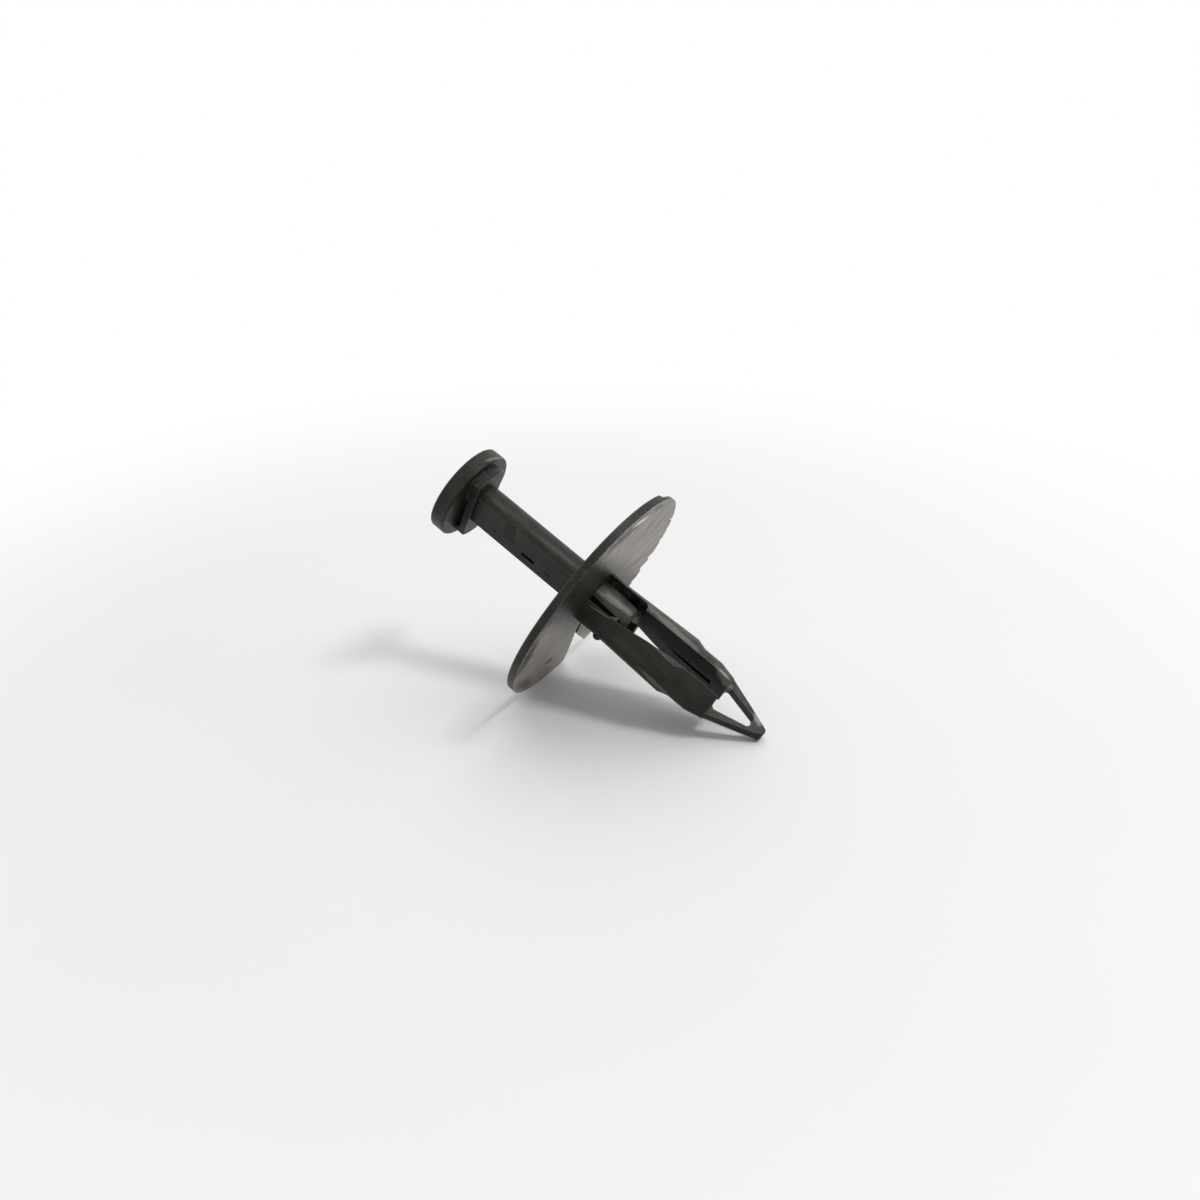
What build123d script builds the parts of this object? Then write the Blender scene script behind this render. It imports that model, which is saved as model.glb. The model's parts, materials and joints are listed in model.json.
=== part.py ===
"""Two-piece plastic push rivet: a flanged, split body and the push pin that spreads it.

The rivet lies as it comes to rest, on the lower rim of its flange and on its tip,
with the pin drawn out until its barb stops under the teeth of the body.
Millimetres, +Z up. The origin is on the rivet's axis, in the face of the flange
that seats on the panel. The axis leans down towards +X.
"""

from build123d import *
import math
import os

# ------------------------------------------------------------------ flange of the body
flange_radius = 12.5
flange_thickness = 0.87
flange_edge_bevel = 0.12
gate_flat_width = 3.6

# nicks in the worn rim: bearing in degrees, depth, width
rim_nicks = [
    (36, 0.35, 0.9),
    (27, 0.7, 1.0),
    (18, 0.4, 0.8),
    (9, 0.5, 1.1),
    (-3, 0.8, 1.3),
    (-10, 1.1, 1.6),
    (-20, 0.5, 1.0),
]

# worn corner on the side of the head, a short straight cut part of the way through
worn_corner_bearing = 60.0
worn_corner_deep = 0.43
worn_corner_thick = 0.45

# pit in the underside
pit_place = (-2.95, -8.05)
pit_turn = -4.0
pit_length = 1.3
pit_width = 0.4
pit_deep = 0.25

# ------------------------------------------------------------------ shank of the body
root_radius = 2.97
flare_depth = 2.2
belly_radius = 3.3
belly_depth = 10.7
waist_radius = 2.97
waist_depth = 11.8
cone_depth = 13.9
leg_end_radius = 2.54
leg_end_depth = 15.85
strap_bend_radius = 2.12
strap_bend_depth = 17.0
tip_radius = 0.6
tip_edge_round = 0.35
shank_length = 21.45
leg_flat_half = 2.75

# blob of flash on one leg
flash_bearing = 231.2
flash_depth = 2.6
flash_reach = 2.83
flash_radius = 0.5

# window and slit that part the shank into two legs
window_half = 1.9
window_depth = 5.0
slit_half = 1.02
step_offset = 0.1
cavity_radius = 2.55
cavity_top = 0.4
recess_top_half = 1.85
recess_top_depth = 4.5
recess_mid_half = 1.29
recess_mid_depth = 10.0
recess_end_half = 1.1

# groove along the inside of each leg
groove_half = 2.1
groove_width = 0.9
groove_top = 5.2
groove_end = 14.2

# straps and the rounded three-cornered opening between them
strap_half_width = 0.6
opening_wide_half = 1.62
opening_narrow_half = 0.6
tip_solid_length = 1.6
opening_round = 0.4

# teeth that catch the barb of the pin
tooth_reach = 0.6
tooth_start = 2.6
tooth_depth = 3.55
tooth_face_drop = 0.1
tooth_low = 0.9
tooth_high = 2.15
tooth_root = 0.1

# ------------------------------------------------------------------ push pin
pin_radius = 2.14
pin_clearance = 0.06
pin_across_flats = 2.74
pin_turn = -13.0
barb_gap = 0.15
pin_taper_start = -0.5
pin_end_radius = 1.76
pin_end_depth = 4.45
pin_end_bevel = 0.25
nose_half_width = 0.55
nose_tip_half_width = 0.36
nose_half_length = 1.2
nose_depth = 5.2

# notch in each flat that the tooth drops into when the pin is home
notch_start = -11.8
notch_end = -10.3
notch_deep = 0.4
notch_low = -0.3
notch_skew = 0.6
notch_run_out = 0.03

# slots in each flat: start, end, depth, width
slots = [(-12.8, -12.1, 0.06, 0.26), (-8.7, -7.0, 0.3, 0.42), (-5.6, -4.7, 0.06, 0.26)]
slot_offset = -0.55

# collar under the head, with a gap on each flat side for a prying blade
collar_radius = 4.1
collar_across_flats = 4.0
collar_end = -15.2
pry_gap = 0.45
pry_gap_deep = 0.7
pry_gap_low = -3.0
pry_gap_high = 1.0

# head
head_radius = 4.93
head_under = -16.35
head_edge_top = -18.05
head_top = -18.2
head_edge_round = 0.25

# ------------------------------------------------------------------ how the rivet lies
legs_turn = 23.2
over = 1.0
strap_taper = math.atan2(strap_bend_radius - tip_radius, shank_length - strap_bend_depth)
tip_round_centre = tip_radius - tip_edge_round * (1 - math.sin(strap_taper)) / math.cos(strap_taper)
gate_flat_reach = math.sqrt(flange_radius**2 - (gate_flat_width / 2) ** 2)
stand_off = gate_flat_reach - tip_round_centre
stand_length = shank_length - tip_edge_round
lean = math.atan2(stand_off, stand_length) - math.asin(tip_edge_round / math.hypot(stand_off, stand_length))

level = Vector(0, 1, 0)
down_axis = Vector(math.cos(lean), 0, -math.sin(lean))
rise = down_axis.cross(level)


def across(angle):
    """Direction square to the rivet's axis, turned from the level one towards the rising one."""
    a = math.radians(angle)
    return level * math.cos(a) + rise * math.sin(a)


def section(angle, depth=0.0):
    """Plane square to the rivet's axis at a depth below the seat, its X turned by the angle."""
    return Plane(origin=down_axis * depth, x_dir=across(angle), z_dir=down_axis)


def lengthways(angle):
    """Plane through the axis: its X points out at the angle and its Y runs down the rivet."""
    return Plane(origin=(0, 0, 0), x_dir=across(angle), z_dir=across(angle - 90))


rivet_axis = Axis((0, 0, 0), tuple(down_axis))
leg_face = lengthways(legs_turn)
leg_side = lengthways(legs_turn + 90)

# ------------------------------------------------------------------ flanged body
bore_radius = pin_radius + pin_clearance
opening_end_depth = shank_length - tip_solid_length
barb_depth = tooth_depth + barb_gap
flange_depth = -flange_thickness
wide = flange_radius

with BuildPart() as flanged_body:
    # the disc, bevelled on the side of the head
    with BuildSketch(section(0, flange_depth)):
        Circle(flange_radius)
    extrude(amount=flange_thickness)
    chamfer(flanged_body.edges().filter_by(GeomType.CIRCLE).sort_by(rivet_axis)[0], flange_edge_bevel)

    # the wedge broken out of it, the flat of the moulding gate and the nicks in the rim
    with BuildSketch(section(0, flange_depth - over)):
        with BuildLine():
            Polyline(
                (3.1, -12.1),
                (2.0, -9.2),
                (0.65, -6.1),
                (-0.05, -4.05),
                (-0.3, -2.5),
                (0.3, -2.5),
                (0.5, -4.0),
                (1.3, -6.35),
                (2.9, -7.85),
                (4.9, -9.5),
                (6.4, -10.8),
                (7.0, -flange_radius - over),
                (3.5, -flange_radius - over),
                close=True,
            )
        make_face()
        with Locations((0, -gate_flat_reach - over)):
            Rectangle(2 * gate_flat_width, 2 * over)
        for bearing, nick_depth, nick_width in rim_nicks:
            with PolarLocations(flange_radius, 1, start_angle=bearing):
                Polygon(
                    (over, -nick_width),
                    (-nick_depth, 0),
                    (over, nick_width),
                    align=None,
                )
    extrude(amount=flange_thickness + 2 * over, mode=Mode.SUBTRACT)

    with BuildSketch(section(worn_corner_bearing, flange_depth - over)):
        with Locations((flange_radius - worn_corner_deep + over, 0)):
            Rectangle(2 * over, flange_radius)
    extrude(amount=over + worn_corner_thick, mode=Mode.SUBTRACT)

    # the shank, turned about the axis
    with BuildSketch(leg_face) as shank_outline:
        with BuildLine():
            Polyline(
                (0, flange_depth),
                (root_radius, flange_depth),
                (root_radius, flare_depth),
                (belly_radius, belly_depth),
                (waist_radius, waist_depth),
                (waist_radius, cone_depth),
                (leg_end_radius, leg_end_depth),
                (strap_bend_radius, strap_bend_depth),
                (tip_radius, shank_length),
                (0, shank_length),
                close=True,
            )
        make_face()
        fillet(shank_outline.vertices().group_by(Axis.Y)[-1].sort_by(Axis.X)[-1], tip_edge_round)
    revolve(axis=rivet_axis)

    # a blob of flash on the shank, and a pit in the underside of the flange
    with Locations(across(flash_bearing) * flash_reach + down_axis * flash_depth):
        Sphere(flash_radius)
    with BuildSketch(section(0)):
        with Locations(pit_place):
            SlotOverall(pit_length, pit_width, rotation=pit_turn)
    extrude(amount=-pit_deep, mode=Mode.SUBTRACT)

    # the bore for the pin
    with BuildSketch(leg_face):
        with BuildLine():
            Polyline(
                (0, flange_depth - over),
                (bore_radius, flange_depth - over),
                (bore_radius, cavity_top),
                (cavity_radius, cavity_top + cavity_radius - bore_radius),
                (cavity_radius, window_depth - window_half + slit_half),
                (0, window_depth - window_half + slit_half),
                close=True,
            )
        make_face()
    revolve(axis=rivet_axis, mode=Mode.SUBTRACT)

    # the window with its rounded foot, and the slit below it, right through the shank
    with BuildSketch(leg_face):
        with BuildLine():
            Line((0, 0), (window_half, 0))
            Line((window_half, 0), (window_half, window_depth - window_half + slit_half))
            RadiusArc(
                (window_half, window_depth - window_half + slit_half),
                (slit_half, window_depth),
                -(window_half - slit_half),
            )
            Line((slit_half, window_depth), (slit_half, leg_end_depth + over))
            Line((slit_half, leg_end_depth + over), (0, leg_end_depth + over))
            mirror(about=Plane.YZ)
        make_face()
    extrude(amount=wide, both=True, mode=Mode.SUBTRACT)

    # the slit is wider on the front of one leg and on the back of the other
    for side in (legs_turn, legs_turn + 180):
        with BuildSketch(lengthways(side).offset(-step_offset)):
            with BuildLine():
                Polyline(
                    (0, recess_top_depth),
                    (-recess_top_half, recess_top_depth),
                    (-recess_mid_half, recess_mid_depth),
                    (-recess_end_half, leg_end_depth),
                    (-recess_end_half, leg_end_depth + over),
                    (0, leg_end_depth + over),
                    close=True,
                )
            make_face()
        extrude(amount=-wide, mode=Mode.SUBTRACT)
        with BuildSketch(lengthways(side).offset(-step_offset)):
            with Locations((-groove_half / 2, (groove_top + groove_end) / 2)):
                Rectangle(groove_half, groove_end - groove_top)
        extrude(amount=-groove_width, mode=Mode.SUBTRACT)

    # the front and the back of the legs are flattened
    with BuildSketch(leg_side):
        with Locations((leg_flat_half + wide / 2, shank_length / 2)):
            Rectangle(wide, shank_length)
        mirror(about=Plane.YZ)
    extrude(amount=wide, both=True, mode=Mode.SUBTRACT)

    # below the legs only two straps are left, joined at the tip
    with BuildSketch(leg_side):
        with Locations((strap_half_width + wide / 2, leg_end_depth + wide / 2)):
            Rectangle(wide, wide)
        mirror(about=Plane.YZ)
    extrude(amount=wide, both=True, mode=Mode.SUBTRACT)
    with BuildSketch(leg_face) as opening:
        with BuildLine():
            Polyline(
                (-opening_wide_half, leg_end_depth),
                (opening_wide_half, leg_end_depth),
                (opening_narrow_half, opening_end_depth),
                (-opening_narrow_half, opening_end_depth),
                close=True,
            )
        make_face()
        fillet(opening.vertices(), opening_round)
    extrude(amount=wide, both=True, mode=Mode.SUBTRACT)

    # a tooth on the front edge of one leg and on the back edge of the other
    for side in (legs_turn, legs_turn + 180):
        with BuildSketch(lengthways(side).offset(-tooth_low)):
            with BuildLine():
                Polyline(
                    (-window_half - tooth_root, tooth_start),
                    (-window_half, tooth_start),
                    (tooth_reach - window_half, tooth_depth - tooth_face_drop),
                    (tooth_reach - window_half, tooth_depth),
                    (-window_half - tooth_root, tooth_depth),
                    close=True,
                )
            make_face()
        extrude(amount=tooth_low - tooth_high)

# ------------------------------------------------------------------ push pin
flat_face = lengthways(legs_turn + pin_turn)
flat_half = pin_across_flats / 2
collar_half = collar_across_flats / 2

with BuildPart() as push_pin:
    # head, collar, shaft and barb, turned about the axis
    with BuildSketch(flat_face) as outline:
        with BuildLine():
            crown = ThreePointArc(
                (0, head_top),
                (head_radius * 0.5, head_top + (head_edge_top - head_top) * 0.25),
                (head_radius, head_edge_top),
            )
            Polyline(
                crown @ 1,
                (head_radius, head_under),
                (collar_radius, head_under),
                (collar_radius, collar_end),
                (pin_radius, collar_end),
                (pin_radius, pin_taper_start),
                (pin_end_radius, pin_end_depth - pin_end_bevel),
                (pin_end_radius - pin_end_bevel, pin_end_depth),
                (0, pin_end_depth),
                (0, head_top),
            )
        make_face()
        fillet(outline.vertices().group_by(Axis.X)[-1], head_edge_round)
    revolve(axis=rivet_axis)

    for side in (legs_turn + pin_turn, legs_turn + pin_turn + 180):
        # a flat along the shaft, which stops short of the barb
        with BuildSketch(lengthways(side)):
            with Locations((-flat_half - wide / 2, (collar_end + barb_depth) / 2)):
                Rectangle(wide, barb_depth - collar_end)
        extrude(amount=wide, both=True, mode=Mode.SUBTRACT)

        # the notch in the flat, a ramp that ends in a step and runs out across the flat
        for low, skew, deep in ((-pin_radius, 0, notch_deep), (-notch_low, notch_skew, notch_run_out)):
            with BuildSketch(lengthways(side).offset(low)):
                with BuildLine():
                    Polyline(
                        (-flat_half - over, notch_start + skew),
                        (-flat_half, notch_start + skew),
                        (-flat_half + deep, notch_end + skew),
                        (-flat_half - over, notch_end + skew),
                        close=True,
                    )
                make_face()
        loft(mode=Mode.SUBTRACT)

        # the slots in the flat
        for slot_start, slot_end, slot_deep, slot_width in slots:
            with BuildSketch(section(side, slot_start)):
                with Locations((-flat_half, slot_offset)):
                    Rectangle(2 * slot_deep, slot_width)
            extrude(amount=slot_end - slot_start, mode=Mode.SUBTRACT)

        # the flat side of the collar
        with BuildSketch(section(side, head_under)):
            with Locations((-collar_half - wide / 2, 0)):
                Rectangle(wide, 2 * wide)
        extrude(amount=collar_end - head_under, mode=Mode.SUBTRACT)

    # a gap for a prying blade between the head and one flat side of the collar
    with BuildSketch(section(legs_turn + pin_turn, head_under)):
        with Locations((pry_gap_deep - collar_half - wide / 2, (pry_gap_low + pry_gap_high) / 2)):
            Rectangle(wide, pry_gap_high - pry_gap_low)
    extrude(amount=pry_gap, mode=Mode.SUBTRACT)

    # the nose, a low wedge across the end
    with BuildSketch(flat_face):
        with BuildLine():
            Polyline(
                (-nose_half_width, pin_end_depth - over),
                (nose_half_width, pin_end_depth - over),
                (nose_half_width, pin_end_depth),
                (nose_tip_half_width, nose_depth),
                (-nose_tip_half_width, nose_depth),
                (-nose_half_width, pin_end_depth),
                close=True,
            )
        make_face()
    extrude(amount=nose_half_length, both=True)

# ------------------------------------------------------------------ files
os.makedirs("parts", exist_ok=True)
flanged_body.part.label = "flanged_body"
export_step(flanged_body.part, "parts/flanged_body.step")
push_pin.part.label = "push_pin"
export_step(push_pin.part, "parts/push_pin.step")
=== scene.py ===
"""Plastic push rivet of black nylon, lying on a pale bench with its pin drawn out."""

import json
import math

import bmesh
import bpy
from mathutils import Matrix, Vector


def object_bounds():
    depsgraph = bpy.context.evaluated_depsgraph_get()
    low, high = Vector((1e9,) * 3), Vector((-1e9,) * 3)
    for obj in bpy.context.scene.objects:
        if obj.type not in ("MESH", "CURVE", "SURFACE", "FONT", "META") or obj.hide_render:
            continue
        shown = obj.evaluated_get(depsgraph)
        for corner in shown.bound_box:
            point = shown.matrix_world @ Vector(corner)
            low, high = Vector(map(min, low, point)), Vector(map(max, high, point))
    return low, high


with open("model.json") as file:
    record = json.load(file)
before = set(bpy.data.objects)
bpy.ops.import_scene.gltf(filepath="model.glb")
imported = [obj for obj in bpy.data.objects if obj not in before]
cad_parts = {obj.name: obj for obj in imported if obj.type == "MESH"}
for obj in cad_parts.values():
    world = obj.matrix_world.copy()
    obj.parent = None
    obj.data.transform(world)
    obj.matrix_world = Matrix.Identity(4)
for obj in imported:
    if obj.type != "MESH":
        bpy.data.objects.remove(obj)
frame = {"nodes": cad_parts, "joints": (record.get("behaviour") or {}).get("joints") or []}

MM = 0.001
cad_low, cad_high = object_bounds()

# ------------------------------------------------------------------ how the rivet lies
AXIS = Vector(frame["joints"][0]["axis"]).normalized()
LEAN = math.asin(-AXIS.z)
FLOOR_HEIGHT = cad_low.z
FLANGE_RADIUS = cad_high.y / MM

# bearings go round the axis, from level at +Y upwards
NEAR_BEARING = math.radians(141.2)
# the sides of the flange's underside that get a painted sheen for the light they catch
SHEEN_BEARING = math.radians(56.0)

# ------------------------------------------------------------------ black nylon 6/6, sizes in mm
NYLON_BLACK = "#10110e"
NYLON_DUSTY = "#25251c"
NYLON_FLECK = "#4b4843"
NYLON_SCRATCH = "#57544e"
# the edges: rubbed paler, and a painted highlight along them
NYLON_EDGE_WEAR_AND_GLINT = "#7a776f"
# the scored underside, paler on two sides as a painted sheen
NYLON_SCORED_SHEEN = "#9f9b92"
# painted light on the end of the pin, where it shows between the legs
NYLON_NOSE_LIGHT = "#5c5a50"

NYLON_IOR = 1.53
NYLON_SPECULAR = 0.26
NYLON_SMOOTHEST = 0.34
NYLON_ROUGHEST = 0.52

BLOTCH_SIZE = 2.0
FLECK_SIZE = 0.4
SCRATCH_LENGTH = 4.0
SCRATCH_APART = 0.125
EDGE_WIDTH = 0.14
RAGGED_SIZE = 0.7143

# the moulded grain is finer than this, and is drawn as coarse as it needs to show
GRAIN_SIZE = 1 / 6
GRAIN_DEPTH = 0.03

# score lines of the underside: how far from the axis they begin and are full, how long
# the coarsest of them are, and how far apart at the rim
SCORED_FROM = 3.1
SCORED_FULLY = 4.0
SCORE_LENGTH = 2.857
SCORE_APART = 0.6944

# the sides of the underside with a painted sheen, by distance from the line between them
SHEEN_FROM = 2.4
SHEEN_FULLY = 5.6

# the end of the pin with painted light, by place along the axis from the seat of the flange, at
# rest
NOSE_FROM = 0.2
NOSE_FULLY = 1.6

# Marks have a place and a long and a short half size in mm, the turn of the long way in
# degrees, a colour and a strength. On the underside of the flange the place is level and
# rising across the axis; on the near side of the rivet it is along the axis and across it.
FLANGE_MARKS_AND_GLINT = [
    # darker along the rim on the left side
    (-3.2, 10.7, 4.2, 1.2, 18.0, "#151512", 0.9),
    (-10.2, 5.4, 4.4, 1.3, 62.0, "#151512", 0.9),
    (-11.4, -1.6, 4.0, 1.0, 96.0, "#151512", 0.85),
    (-7.0, -9.0, 3.4, 0.9, 142.0, "#1d1c19", 0.7),
    (2.6, 11.4, 2.0, 0.5, -14.0, "#3a3833", 0.7),
    # a painted glint on the rim
    (-0.9, 11.2, 1.9, 0.4, -2.0, "#dad7d0", 0.95),
    (7.6, 1.0, 3.9, 0.22, 2.0, "#2a2926", 0.75),
    (6.6, 3.4, 3.4, 0.3, 20.0, "#b4b1aa", 0.5),
    (3.6, 8.2, 3.0, 0.4, 58.0, "#45433e", 0.6),
    (0.2, -9.6, 2.2, 0.7, 20.0, "#8d8a83", 0.6),
]
# painted light on the near side of the legs: lit strips along their outer edges, a bright end
# facet and tip, a lit edge by the window, and a paler middle where light falls on one leg
LEG_PAINTED_LIGHT = [
    (8.2, 2.5, 4.2, 0.3, -2.0, "#85827a", 0.6),
    (15.0, 1.9, 1.5, 0.45, -20.0, "#98958d", 0.8),
    (20.0, 1.1, 0.9, 0.45, -40.0, "#a5a199", 0.85),
    (10.4, -2.8, 2.4, 0.22, -4.0, "#7a776f", 0.6),
    (1.6, -0.9, 1.5, 0.1, 6.0, "#7b7a6a", 0.7),
    (6.0, -1.9, 3.4, 0.5, -1.0, "#3a3933", 0.6),
]
PIN_MARKS_AND_HIGHLIGHTS = [
    # painted light on the pin where it shows between the legs
    (1.9, 0.75, 2.4, 0.35, 5.0, "#8e8a7f", 0.7),
    # paler bands along the round side of the shaft
    (-6.0, 1.0, 3.6, 0.3, 1.0, "#4f4d45", 0.5),
    (-13.2, 0.9, 1.4, 0.3, -2.0, "#4f4d45", 0.5),
    # painted highlights on the rim of the head
    (-15.8, 4.3, 0.7, 0.22, -50.0, "#a5a199", 0.7),
    (-16.6, 4.2, 1.1, 0.2, 75.0, "#8c8981", 0.5),
]

# ------------------------------------------------------------------ bench and light, in mm
BENCH_RADIUS = 3000.0
BENCH_SIDES = 96
BOARD_DULL = "#efedeb"
BOARD_CLEAN = "#f6f4f3"
BOARD_ROUGHNESS = 0.8
BOARD_DRIFT = 71.43
BOARD_FADES_FROM = 45.0
PLAIN_WHITE_FROM = 110.0
PLAIN_WHITE = "#ffffff"

LAMP_DISTANCE = 500.0
LAMP_WIDTH = 110.0
LAMP_WATTS = 0.75
ROOM_LIGHT = "#f8f8fa"
ROOM_DIMMEST = 0.1
ROOM_BRIGHTEST = 1.62

# ------------------------------------------------------------------ where it is seen from
VIEW_TURN = math.radians(29.799)
VIEW_DROP = math.radians(27.580)
VIEW_ROLL = math.radians(0.122)
CAMERA_BACK = 120.661 * MM
CAMERA_RIGHT = 0.399 * MM
CAMERA_DOWN = 0.278 * MM
CAMERA_CLIP = 1.0 * MM
LENS_AND_SENSOR = 36.0

HIGH = Vector((0.0, 0.0, 1.0))
AHEAD = Vector((-math.sin(VIEW_TURN), math.cos(VIEW_TURN), 0.0))
LEVEL_RIGHT = AHEAD.cross(HIGH)
SIGHT = AHEAD * math.cos(VIEW_DROP) - HIGH * math.sin(VIEW_DROP)
RIGHT = LEVEL_RIGHT * math.cos(VIEW_ROLL) + LEVEL_RIGHT.cross(SIGHT) * math.sin(VIEW_ROLL)
UP = RIGHT.cross(SIGHT)
TOWARDS_LAMP = LEVEL_RIGHT * 0.62 - AHEAD * 0.07 + HIGH
BRIGHT_SIDE = (AHEAD * 0.75 + HIGH * 0.55 + LEVEL_RIGHT * 0.4).normalized()

# A colour Mix node repeats the names of its sockets, so they go by number here: how much
# of the second colour there is, the two colours, and the result.
SHARE, UNDER, OVER, MIXED = 0, 6, 7, 2


def linear(code):
    """An sRGB hex colour as the linear colour that the shaders take."""
    parts = [int(code[i : i + 2], 16) / 255 for i in (1, 3, 5)]
    return [p / 12.92 if p <= 0.04045 else ((p + 0.055) / 1.055) ** 2.4 for p in parts] + [1.0]


def add_node(tree, kind, inputs, output=0, **settings):
    """Adds a node with its settings, fills or links its inputs and returns one output."""
    node = tree.nodes.new(kind)
    for name, value in settings.items():
        setattr(node, name, value)
    for key, value in inputs.items():
        if isinstance(value, bpy.types.NodeSocket):
            tree.links.new(value, node.inputs[key])
        elif isinstance(value, str):
            node.inputs[key].default_value = linear(value)
        else:
            node.inputs[key].default_value = value
    return node.outputs[output] if node.outputs else None


def new_material(name):
    """An empty node material."""
    material = bpy.data.materials.new(name)
    material.use_nodes = True
    material.node_tree.nodes.clear()
    return material


# ------------------------------------------------------------------ the nylon
def rivet_coordinates(tree):
    """Millimetres along the rivet's axis, level across it, and rising across it."""
    place = add_node(tree, "ShaderNodeTexCoord", {}, "Object")
    turn = {"Vector": place, "Rotation": (0.0, -LEAN, 0.0), "Scale": (1 / MM, 1 / MM, 1 / MM)}
    return add_node(tree, "ShaderNodeMapping", turn)


def nylon_tone(tree, where):
    """Colour, scratch height and flecks of the black nylon, before any marks.

    A very dark, slightly warm grey, with dusty blotches, small pale flecks, and fine
    paler scratches along the draw of the mould.
    """
    blotches = add_node(
        tree, "ShaderNodeTexNoise", {"Vector": where, "Scale": 1 / BLOTCH_SIZE, "Detail": 3.0}
    )
    dusty = add_node(
        tree, "ShaderNodeMapRange", {"Value": blotches, "From Min": 0.38, "From Max": 0.66}
    )
    tone = add_node(
        tree,
        "ShaderNodeMix",
        {SHARE: dusty, UNDER: NYLON_BLACK, OVER: NYLON_DUSTY},
        MIXED,
        data_type="RGBA",
    )

    flecks = add_node(
        tree, "ShaderNodeTexNoise", {"Vector": where, "Scale": 1 / FLECK_SIZE, "Detail": 4.0}
    )
    pale = add_node(
        tree,
        "ShaderNodeMapRange",
        {"Value": flecks, "From Min": 0.56, "From Max": 0.78, "To Max": 0.3},
    )
    tone = add_node(
        tree,
        "ShaderNodeMix",
        {SHARE: pale, UNDER: tone, OVER: NYLON_FLECK},
        MIXED,
        data_type="RGBA",
    )

    spacing = (1 / SCRATCH_LENGTH, 1 / SCRATCH_APART, 1 / SCRATCH_APART)
    drawn = add_node(tree, "ShaderNodeMapping", {"Vector": where, "Scale": spacing})
    lines = add_node(tree, "ShaderNodeTexNoise", {"Vector": drawn, "Scale": 1.0, "Detail": 2.0})
    scratches = add_node(
        tree,
        "ShaderNodeMapRange",
        {"Value": lines, "From Min": 0.6, "From Max": 0.78, "To Max": 0.45},
    )
    tone = add_node(
        tree,
        "ShaderNodeMix",
        {SHARE: scratches, UNDER: tone, OVER: NYLON_SCRATCH},
        MIXED,
        data_type="RGBA",
    )
    return tone, scratches, flecks


def worn_and_highlit_edges(tree, tone, flecks):
    """Rubs the edges paler, in patches: edge wear, and a painted highlight along the edges."""
    soft = add_node(tree, "ShaderNodeBevel", {"Radius": EDGE_WIDTH * MM}, samples=6)
    flat = add_node(tree, "ShaderNodeNewGeometry", {}, "Normal")
    same = add_node(
        tree, "ShaderNodeVectorMath", {0: soft, 1: flat}, "Value", operation="DOT_PRODUCT"
    )
    edge = add_node(
        tree, "ShaderNodeMapRange", {"Value": same, "From Min": 0.985, "From Max": 0.86}
    )
    patchy = add_node(
        tree,
        "ShaderNodeMapRange",
        {"Value": flecks, "From Min": 0.42, "From Max": 0.62, "To Min": 0.15, "To Max": 0.8},
    )
    edge = add_node(tree, "ShaderNodeMath", {0: edge, 1: patchy}, operation="MULTIPLY")
    return add_node(
        tree,
        "ShaderNodeMix",
        {SHARE: edge, UNDER: tone, OVER: NYLON_EDGE_WEAR_AND_GLINT},
        MIXED,
        data_type="RGBA",
    )


def draw_marks(tree, where, tone, plane, mask, marks):
    """Draws paler and darker marks with ragged edges, where the mask lets them show; many are
    painted highlights and painted light.
    """
    ragged = add_node(
        tree, "ShaderNodeTexNoise", {"Vector": where, "Scale": 1 / RAGGED_SIZE, "Detail": 4.0}
    )
    for place_x, place_y, long, short, turned, colour, strength in marks:
        mark = add_node(
            tree,
            "ShaderNodeVectorMath",
            {0: plane, 1: (place_x, place_y, 0.0)},
            operation="SUBTRACT",
        )
        turn = (0.0, 0.0, -math.radians(turned))
        mark = add_node(tree, "ShaderNodeMapping", {"Vector": mark, "Rotation": turn})
        mark = add_node(
            tree,
            "ShaderNodeVectorMath",
            {0: mark, 1: (1 / long, 1 / short, 1.0)},
            operation="MULTIPLY",
        )
        mark = add_node(tree, "ShaderNodeVectorMath", {0: mark}, "Value", operation="LENGTH")
        mark = add_node(tree, "ShaderNodeMath", {0: mark, 1: ragged}, operation="ADD")
        mark = add_node(
            tree,
            "ShaderNodeMapRange",
            {"Value": mark, "From Min": 1.6, "From Max": 1.0, "To Max": strength},
        )
        mark = add_node(tree, "ShaderNodeMath", {0: mark, 1: mask}, operation="MULTIPLY")
        tone = add_node(
            tree,
            "ShaderNodeMix",
            {SHARE: mark, UNDER: tone, OVER: colour},
            MIXED,
            data_type="RGBA",
        )
    return tone


def marked_side(tree, where, tone, marks):
    """Draws the marks of the near side, by place along the axis and across it; most are painted
    highlights and painted light.
    """
    rise = Vector((math.sin(LEAN), 0.0, math.cos(LEAN)))
    near = Vector((0.0, 1.0, 0.0)) * math.cos(NEAR_BEARING) + rise * math.sin(NEAR_BEARING)
    flat = add_node(tree, "ShaderNodeNewGeometry", {}, "Normal")
    facing = add_node(
        tree, "ShaderNodeVectorMath", {0: flat, 1: near}, "Value", operation="DOT_PRODUCT"
    )
    facing = add_node(
        tree, "ShaderNodeMapRange", {"Value": facing, "From Min": 0.0, "From Max": 0.3}
    )

    along = add_node(tree, "ShaderNodeSeparateXYZ", {"Vector": where}, "X")
    across = add_node(
        tree,
        "ShaderNodeVectorMath",
        {0: where, 1: (0.0, math.sin(NEAR_BEARING), -math.cos(NEAR_BEARING))},
        "Value",
        operation="DOT_PRODUCT",
    )
    plane = add_node(tree, "ShaderNodeCombineXYZ", {"X": along, "Y": across})
    return draw_marks(tree, where, tone, plane, facing, marks)


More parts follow.
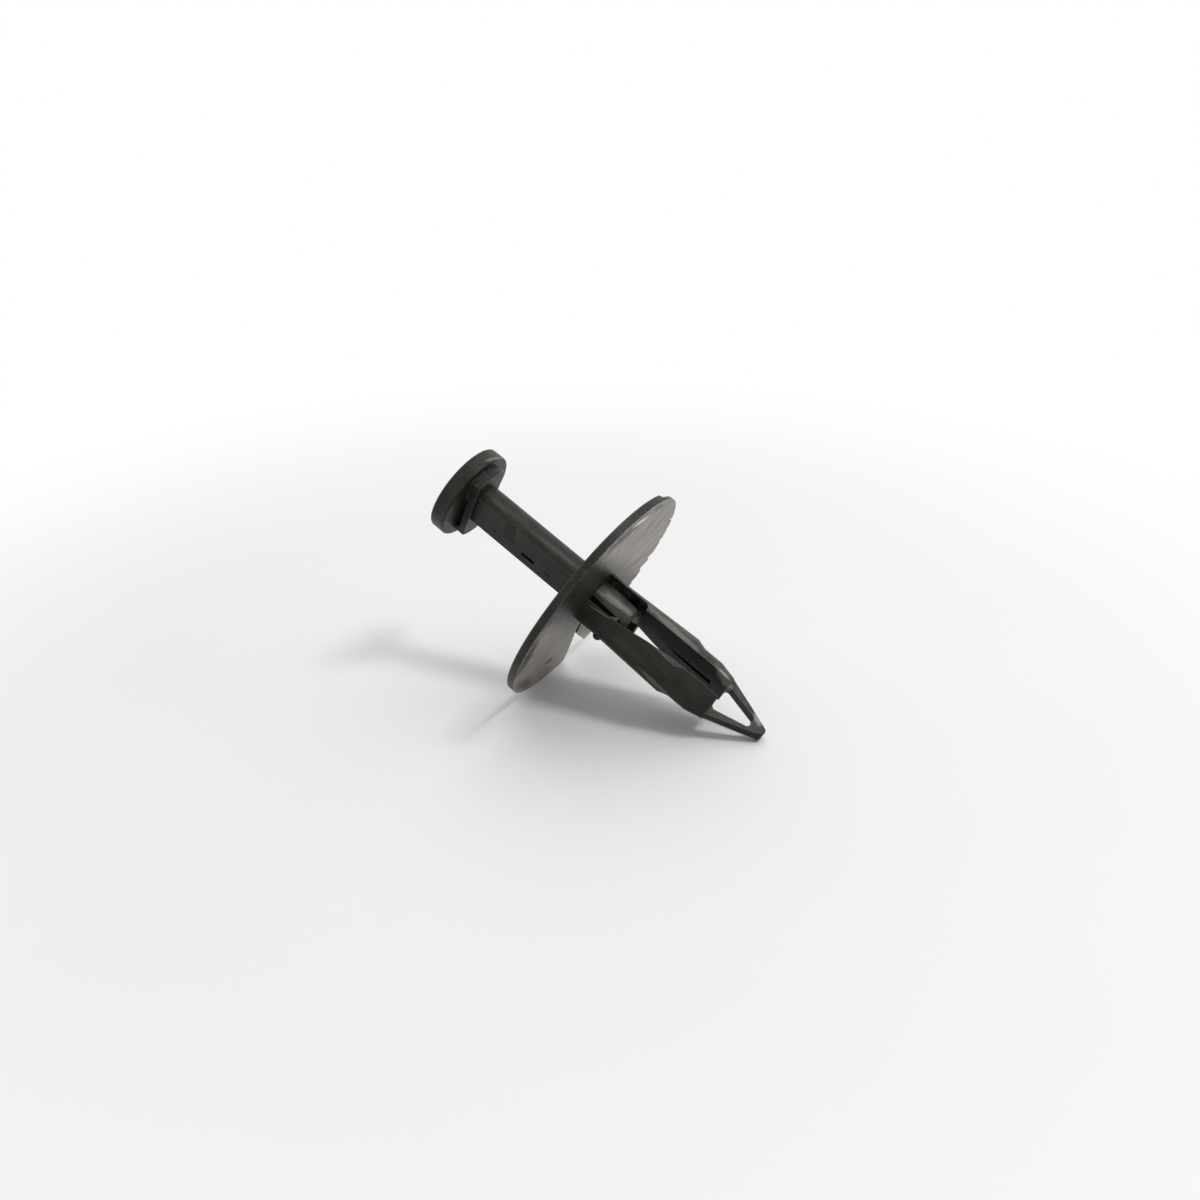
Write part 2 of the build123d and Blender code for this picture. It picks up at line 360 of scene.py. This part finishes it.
def scored_flange(tree, where, tone):
    """Scores the underside of the flange outwards from the shank, with a painted sheen on two
    sides, and adds its marks.
    """
    level = add_node(tree, "ShaderNodeSeparateXYZ", {"Vector": where}, "Y")
    rising = add_node(tree, "ShaderNodeSeparateXYZ", {"Vector": where}, "Z")
    disc = add_node(tree, "ShaderNodeCombineXYZ", {"X": level, "Y": rising})
    reach = add_node(tree, "ShaderNodeVectorMath", {0: disc}, "Value", operation="LENGTH")

    # the underside is what faces the tip, outside the shank
    flat = add_node(tree, "ShaderNodeNewGeometry", {}, "Normal")
    facing = add_node(
        tree, "ShaderNodeVectorMath", {0: flat, 1: AXIS}, "Value", operation="DOT_PRODUCT"
    )
    facing = add_node(
        tree, "ShaderNodeMapRange", {"Value": facing, "From Min": 0.9, "From Max": 0.97}
    )
    outer = add_node(
        tree,
        "ShaderNodeMapRange",
        {"Value": reach, "From Min": SCORED_FROM, "From Max": SCORED_FULLY},
    )
    underside = add_node(tree, "ShaderNodeMath", {0: facing, 1: outer}, operation="MULTIPLY")

    # score lines that fan out towards the rim
    bearing = add_node(tree, "ShaderNodeMath", {0: rising, 1: level}, operation="ARCTAN2")
    around = add_node(
        tree, "ShaderNodeMath", {0: bearing, 1: FLANGE_RADIUS / SCORE_APART}, operation="MULTIPLY"
    )
    outwards = add_node(
        tree, "ShaderNodeMath", {0: reach, 1: 1 / SCORE_LENGTH}, operation="MULTIPLY"
    )
    fan = add_node(tree, "ShaderNodeCombineXYZ", {"X": outwards, "Y": around})
    scores_and_sheen = add_node(tree, "ShaderNodeTexNoise", {"Vector": fan, "Scale": 1.0, "Detail": 4.0})
    scores_and_sheen = add_node(
        tree,
        "ShaderNodeMapRange",
        {"Value": scores_and_sheen, "From Min": 0.3, "From Max": 0.74, "To Min": 0.42, "To Max": 1.0},
    )
    scores_and_sheen = add_node(tree, "ShaderNodeMath", {0: scores_and_sheen, 1: underside}, operation="MULTIPLY")

    # painted sheen: the score lines pale on two opposite sides of the shank
    side = add_node(
        tree,
        "ShaderNodeVectorMath",
        {0: disc, 1: (math.cos(SHEEN_BEARING), math.sin(SHEEN_BEARING), 0.0)},
        "Value",
        operation="DOT_PRODUCT",
    )
    side = add_node(tree, "ShaderNodeMath", {0: side}, operation="ABSOLUTE")
    painted_light = add_node(
        tree,
        "ShaderNodeMapRange",
        {"Value": side, "From Min": SHEEN_FROM, "From Max": SHEEN_FULLY},
        interpolation_type="SMOOTHSTEP",
    )
    scores_and_sheen = add_node(tree, "ShaderNodeMath", {0: scores_and_sheen, 1: painted_light}, operation="MULTIPLY")
    tone = add_node(
        tree,
        "ShaderNodeMix",
        {SHARE: scores_and_sheen, UNDER: tone, OVER: NYLON_SCORED_SHEEN},
        MIXED,
        data_type="RGBA",
    )
    return draw_marks(tree, where, tone, disc, underside, FLANGE_MARKS_AND_GLINT), scores_and_sheen


def painted_lit_nose(tree, where, tone, flecks):
    """Paints light on the end of the pin, in patches, where it shows between the legs."""
    along = add_node(tree, "ShaderNodeSeparateXYZ", {"Vector": where}, "X")
    painted_light = add_node(
        tree,
        "ShaderNodeMapRange",
        {"Value": along, "From Min": NOSE_FROM, "From Max": NOSE_FULLY},
    )
    patchy = add_node(
        tree,
        "ShaderNodeMapRange",
        {"Value": flecks, "From Min": 0.3, "From Max": 0.7, "To Min": 0.3, "To Max": 0.9},
    )
    painted_light = add_node(tree, "ShaderNodeMath", {0: painted_light, 1: patchy}, operation="MULTIPLY")
    return add_node(
        tree,
        "ShaderNodeMix",
        {SHARE: painted_light, UNDER: tone, OVER: NYLON_NOSE_LIGHT},
        MIXED,
        data_type="RGBA",
    )


def moulded_nylon(name, flanged):
    """Black nylon 6/6, injection moulded, with a soft satin shine, handled and dusty, with
    painted highlights and painted light.
    """
    material = new_material(name)
    tree = material.node_tree
    where = rivet_coordinates(tree)
    tone, relief, flecks = nylon_tone(tree, where)
    if flanged:
        tone, scores_and_sheen = scored_flange(tree, where, tone)
        tone = marked_side(tree, where, tone, LEG_PAINTED_LIGHT)
        relief = add_node(tree, "ShaderNodeMath", {0: relief, 1: scores_and_sheen}, operation="ADD")
    else:
        tone = painted_lit_nose(tree, where, tone, flecks)
        tone = marked_side(tree, where, tone, PIN_MARKS_AND_HIGHLIGHTS)
    tone = worn_and_highlit_edges(tree, tone, flecks)

    roughness = add_node(
        tree,
        "ShaderNodeMapRange",
        {
            "Value": flecks,
            "From Min": 0.3,
            "From Max": 0.7,
            "To Min": NYLON_SMOOTHEST,
            "To Max": NYLON_ROUGHEST,
        },
    )
    grain = add_node(
        tree, "ShaderNodeTexNoise", {"Vector": where, "Scale": 1 / GRAIN_SIZE, "Detail": 5.0}
    )
    relief = add_node(tree, "ShaderNodeMath", {0: relief, 1: grain}, operation="ADD")
    bump = add_node(
        tree,
        "ShaderNodeBump",
        {"Height": relief, "Strength": 0.4, "Distance": GRAIN_DEPTH * MM},
    )
    nylon = add_node(
        tree,
        "ShaderNodeBsdfPrincipled",
        {
            "Base Color": tone,
            "Roughness": roughness,
            "IOR": NYLON_IOR,
            "Specular IOR Level": NYLON_SPECULAR,
            "Normal": bump,
        },
    )
    add_node(tree, "ShaderNodeOutputMaterial", {"Surface": nylon})
    return material


def finish_pieces():
    """Gives the two mouldings their nylon; their meshes stay as the CAD has them."""
    for node, material in (
        ("flanged_body", moulded_nylon("nylon_body", True)),
        ("push_pin", moulded_nylon("nylon_pin", False)),
    ):
        piece = frame["nodes"][node]
        piece.data.materials.clear()
        piece.data.materials.append(material)


# ------------------------------------------------------------------ bench, light and camera
def bench_board():
    """Matt white board that keeps the rivet's soft shadows and fades to plain white."""
    material = new_material("bench_board")
    tree = material.node_tree
    place = add_node(tree, "ShaderNodeTexCoord", {}, "Object")
    drift = add_node(
        tree,
        "ShaderNodeTexNoise",
        {"Vector": place, "Scale": 1 / (BOARD_DRIFT * MM), "Detail": 2.0},
    )
    tone = add_node(
        tree,
        "ShaderNodeMix",
        {SHARE: drift, UNDER: BOARD_DULL, OVER: BOARD_CLEAN},
        MIXED,
        data_type="RGBA",
    )
    board = add_node(
        tree, "ShaderNodeBsdfPrincipled", {"Base Color": tone, "Roughness": BOARD_ROUGHNESS}
    )

    away = add_node(tree, "ShaderNodeVectorMath", {0: place}, "Value", operation="LENGTH")
    faded = add_node(
        tree,
        "ShaderNodeMapRange",
        {"Value": away, "From Min": BOARD_FADES_FROM * MM, "From Max": PLAIN_WHITE_FROM * MM},
        interpolation_type="SMOOTHSTEP",
    )
    white = add_node(tree, "ShaderNodeEmission", {"Color": PLAIN_WHITE, "Strength": 1.0})
    board = add_node(tree, "ShaderNodeMixShader", {0: faded, 1: board, 2: white})
    add_node(tree, "ShaderNodeOutputMaterial", {"Surface": board})
    return material


def lay_bench():
    """A wide round board, level with the rivet's lowest point."""
    mesh = bpy.data.meshes.new("bench")
    form = bmesh.new()
    bmesh.ops.create_circle(form, cap_ends=True, radius=BENCH_RADIUS * MM, segments=BENCH_SIDES)
    form.to_mesh(mesh)
    form.free()
    bench = bpy.data.objects.new("bench", mesh)
    bench.location = (0.0, 0.0, FLOOR_HEIGHT)
    bench.data.materials.append(bench_board())
    bpy.context.scene.collection.objects.link(bench)


def hang_lamp():
    """One soft round lamp, high and to the right of the viewer."""
    data = bpy.data.lights.new("window_lamp", "AREA")
    data.shape = "DISK"
    data.size = LAMP_WIDTH * MM
    data.energy = LAMP_WATTS
    lamp = bpy.data.objects.new("window_lamp", data)
    lamp.location = TOWARDS_LAMP.normalized() * (LAMP_DISTANCE * MM)
    lamp.rotation_euler = TOWARDS_LAMP.to_track_quat("Z", "Y").to_euler()
    bpy.context.scene.collection.objects.link(lamp)


def light_room():
    """A room that is bright overhead and behind the rivet, and dim towards the viewer.

    The camera sees plain white in its place, and so do reflections and clear pieces.
    """
    world = bpy.data.worlds.new("room")
    bpy.context.scene.world = world
    world.use_nodes = True
    tree = world.node_tree
    tree.nodes.clear()
    outwards = add_node(tree, "ShaderNodeTexCoord", {}, "Generated")
    strength = add_node(
        tree,
        "ShaderNodeVectorMath",
        {0: outwards, 1: BRIGHT_SIDE},
        "Value",
        operation="DOT_PRODUCT",
    )
    strength = add_node(
        tree,
        "ShaderNodeMapRange",
        {
            "Value": strength,
            "From Min": -0.1,
            "From Max": 1.0,
            "To Min": ROOM_DIMMEST,
            "To Max": ROOM_BRIGHTEST,
        },
    )
    room = add_node(tree, "ShaderNodeBackground", {"Color": ROOM_LIGHT, "Strength": strength})
    white = add_node(tree, "ShaderNodeBackground", {"Color": PLAIN_WHITE, "Strength": 1.0})

    camera, glossy, through = (
        add_node(tree, "ShaderNodeLightPath", {}, ray)
        for ray in ("Is Camera Ray", "Is Glossy Ray", "Is Transmission Ray")
    )
    seen = add_node(tree, "ShaderNodeMath", {0: camera, 1: glossy}, operation="MAXIMUM")
    seen = add_node(tree, "ShaderNodeMath", {0: seen, 1: through}, operation="MAXIMUM")
    both = add_node(tree, "ShaderNodeMixShader", {0: seen, 1: room, 2: white})
    add_node(tree, "ShaderNodeOutputWorld", {"Surface": both})


def set_camera():
    """A camera that looks along the line of sight, about 12 cm from the rivet."""
    data = bpy.data.cameras.new("camera")
    data.lens = LENS_AND_SENSOR
    data.sensor_width = LENS_AND_SENSOR
    data.clip_start = CAMERA_CLIP
    camera = bpy.data.objects.new("camera", data)
    place = RIGHT * CAMERA_RIGHT - UP * CAMERA_DOWN - SIGHT * CAMERA_BACK
    turn = Matrix((RIGHT, UP, -SIGHT)).transposed().to_4x4()
    camera.matrix_world = Matrix.Translation(place) @ turn
    bpy.context.scene.collection.objects.link(camera)
    bpy.context.scene.camera = camera


finish_pieces()
lay_bench()
hang_lamp()
light_room()
set_camera()
bpy.context.scene.view_settings.view_transform = "Standard"
